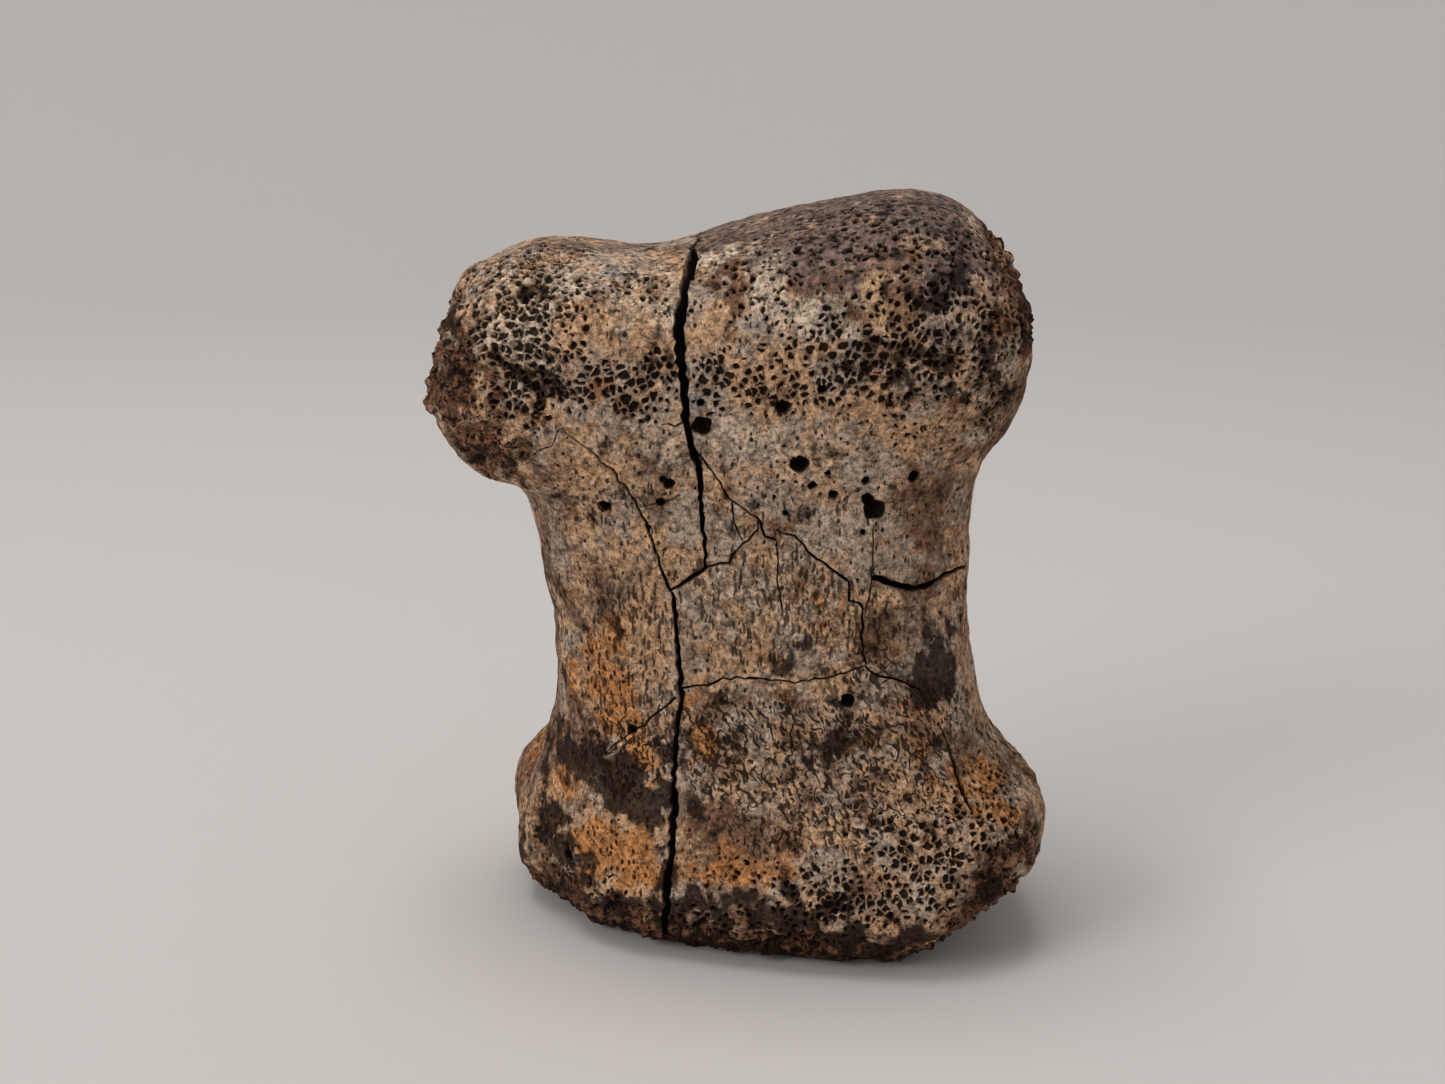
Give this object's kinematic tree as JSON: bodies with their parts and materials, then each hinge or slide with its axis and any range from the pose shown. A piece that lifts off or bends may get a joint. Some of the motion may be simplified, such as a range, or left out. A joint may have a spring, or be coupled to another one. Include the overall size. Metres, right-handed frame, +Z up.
{
  "type": "fossil hadrosaur toe bone",
  "caption": "Mineralised dinosaur toe bone with a flared joint base, a narrow shaft and an uneven pair of condyles, cracked and porous, standing upright.",
  "frame": {"origin": "middle of the bone's bounding box, in the plane that it stands on", "axes": "+Z up the shaft from the proximal joint face to the condyles, -Y out of the face with the long crack, +X to that face's right, where the higher condyle is"},
  "size_m": [0.0838, 0.0529, 0.1013],
  "materials": {
    "fossil_bone": "dull mineralised bone, tan to dark brown with orange stains, porous and cracked"
  },
  "bodies": {
    "root": {"toe_bone": "fossil_bone"}
  },
  "joints": []
}
